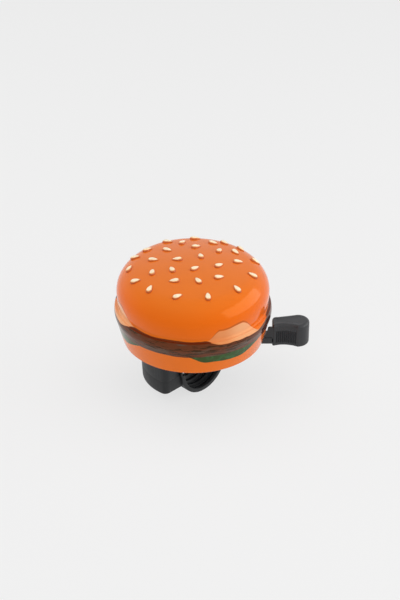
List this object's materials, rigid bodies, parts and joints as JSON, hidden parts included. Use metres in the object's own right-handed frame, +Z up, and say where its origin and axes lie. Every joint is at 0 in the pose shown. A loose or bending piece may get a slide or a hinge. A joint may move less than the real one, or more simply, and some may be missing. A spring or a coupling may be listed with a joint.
{
  "type": "bicycle bell",
  "caption": "Bicycle bell with a painted hamburger-shaped steel dome, a spring-return thumb lever, a geared spinning striker and a hinged clamp for a 22.2 mm handlebar.",
  "frame": {"origin": "centre of the handlebar clamp's bore, below the dome's axis", "axes": "+X along the handlebar, +Z up along the dome's axis"},
  "size_m": [0.0673, 0.069, 0.0603],
  "materials": {
    "painted_dome": "glossy enamel",
    "seed_enamel": "glossy enamel",
    "zinc_steel": "zinc plated",
    "spring_steel": "polished wire",
    "black_plastic": "moulded, satin",
    "liner_rubber": "moulded",
    "white_nylon": "moulded"
  },
  "bodies": {
    "frame": {"dome_shell": "painted_dome", "sesame_seeds": "seed_enamel", "dome_nut": "zinc_steel", "centre_post": "zinc_steel", "base_plate": "zinc_steel", "base_screws": "zinc_steel", "lever_pin": "zinc_steel", "lever_clip": "spring_steel", "idler_pin": "zinc_steel", "idler_clip": "spring_steel", "spinner_clip": "spring_steel", "bracket": "black_plastic", "saddle_liner": "liner_rubber", "clamp_nut": "zinc_steel", "hinge_pin": "zinc_steel", "return_spring": "spring_steel"},
    "lever": {"thumb_lever": "black_plastic"},
    "idler": {"idler_gear": "white_nylon"},
    "spinner": {"spinner_hub": "white_nylon", "spinner_arm": "zinc_steel", "clapper_rivets": "zinc_steel"},
    "clapper_a": {"clapper_a": "zinc_steel"},
    "clapper_b": {"clapper_b": "zinc_steel"},
    "strap": {"clamp_strap": "black_plastic", "clamp_screw": "zinc_steel"}
  },
  "joints": [
    {"name": "spinner_turn", "type": "hinge", "parent": "frame", "child": "spinner", "pos_m": [0, 0, 0.024], "axis": [0, 0, 1], "range_deg": [0, 195.9]},
    {"name": "lever_swing", "type": "hinge", "parent": "frame", "child": "lever", "pos_m": [0.00849, 0.00849, 0.019], "axis": [0, 0, 1], "range_deg": [0, 30], "stiffness_Nm_per_rad": 0.05, "springref_deg": -17.19, "deforming": ["return_spring"]},
    {"name": "idler_turn", "type": "hinge", "parent": "frame", "child": "idler", "pos_m": [-0.00244, 0.01175, 0.02], "axis": [0, 0, 1], "range_deg": [-84, 0]},
    {"name": "clapper_a_play", "type": "slide", "parent": "spinner", "child": "clapper_a", "axis": [1, 0, 0], "range_m": [0, 0.0015]},
    {"name": "clapper_b_play", "type": "slide", "parent": "spinner", "child": "clapper_b", "axis": [-1, 0, 0], "range_m": [0, 0.0015]},
    {"name": "strap_hinge", "type": "hinge", "parent": "frame", "child": "strap", "pos_m": [0, 0.017, 0], "axis": [1, 0, 0], "range_deg": [0, 75]}
  ],
  "couplings": [
    {"joint": "lever_swing", "follows": "spinner_turn", "ratio": 0.15306},
    {"joint": "idler_turn", "follows": "spinner_turn", "ratio": -0.42857}
  ]
}
